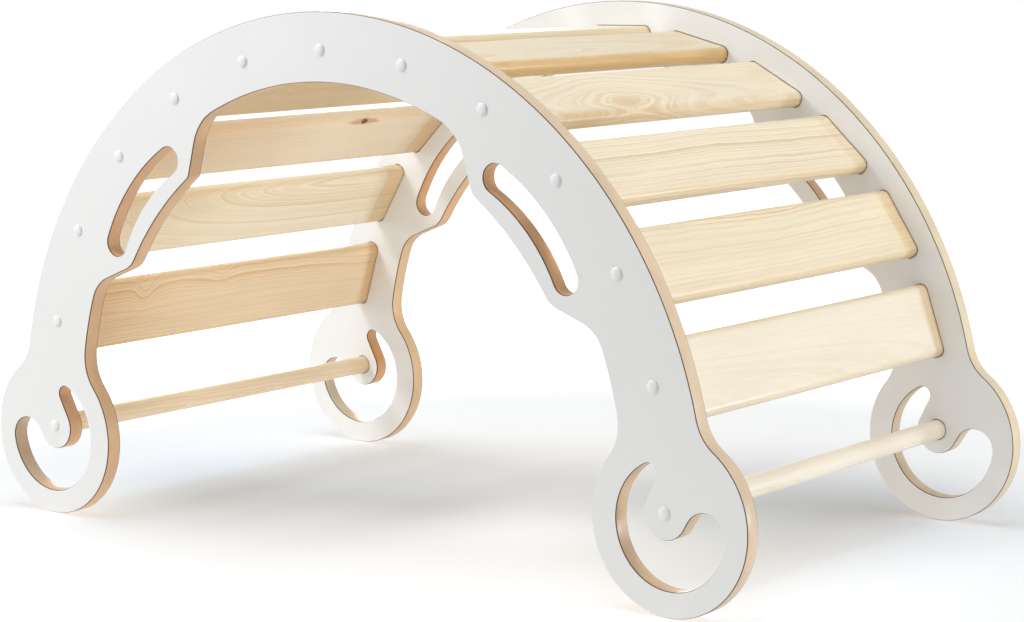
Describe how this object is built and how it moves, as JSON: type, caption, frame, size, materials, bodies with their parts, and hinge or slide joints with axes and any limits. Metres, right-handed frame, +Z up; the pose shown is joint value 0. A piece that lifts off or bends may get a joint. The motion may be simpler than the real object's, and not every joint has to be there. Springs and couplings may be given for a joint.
{
  "type": "rocker arch",
  "caption": "Arched climbing frame and rocker for small children: white-faced plywood side panels with curled feet and hand slots, joined by flat wooden slats and round rungs.",
  "frame": {"origin": "on the floor, midway between the feet and between the two side panels", "axes": "+X along the arch towards the right feet, +Y from the front panel to the back panel, +Z up"},
  "size_m": [1.045, 0.5328, 0.57],
  "materials": {
    "plywood": "clear-lacquered birch plywood edge",
    "laminate": "satin white laminate",
    "pine": "clear satin lacquer on pine",
    "rung_wood": "clear satin lacquer on a round hardwood bar",
    "cap_plastic": "smooth white plastic",
    "screw_steel": "zinc-plated steel"
  },
  "bodies": {
    "root": {"front_panel_core": "plywood", "front_panel_outer_laminate": "laminate", "front_panel_inner_laminate": "laminate", "back_panel_core": "plywood", "back_panel_outer_laminate": "laminate", "back_panel_inner_laminate": "laminate", "slat_01": "pine", "slat_02": "pine", "slat_03": "pine", "slat_04": "pine", "slat_05": "pine", "slat_06": "pine", "slat_07": "pine", "slat_08": "pine", "slat_09": "pine", "slat_10": "pine", "slat_11": "pine", "rung_left": "rung_wood", "rung_right": "rung_wood", "front_slat_screws": "screw_steel", "back_slat_screws": "screw_steel", "front_rung_screws": "screw_steel", "back_rung_screws": "screw_steel", "front_screw_caps": "cap_plastic", "back_screw_caps": "cap_plastic"}
  },
  "joints": []
}
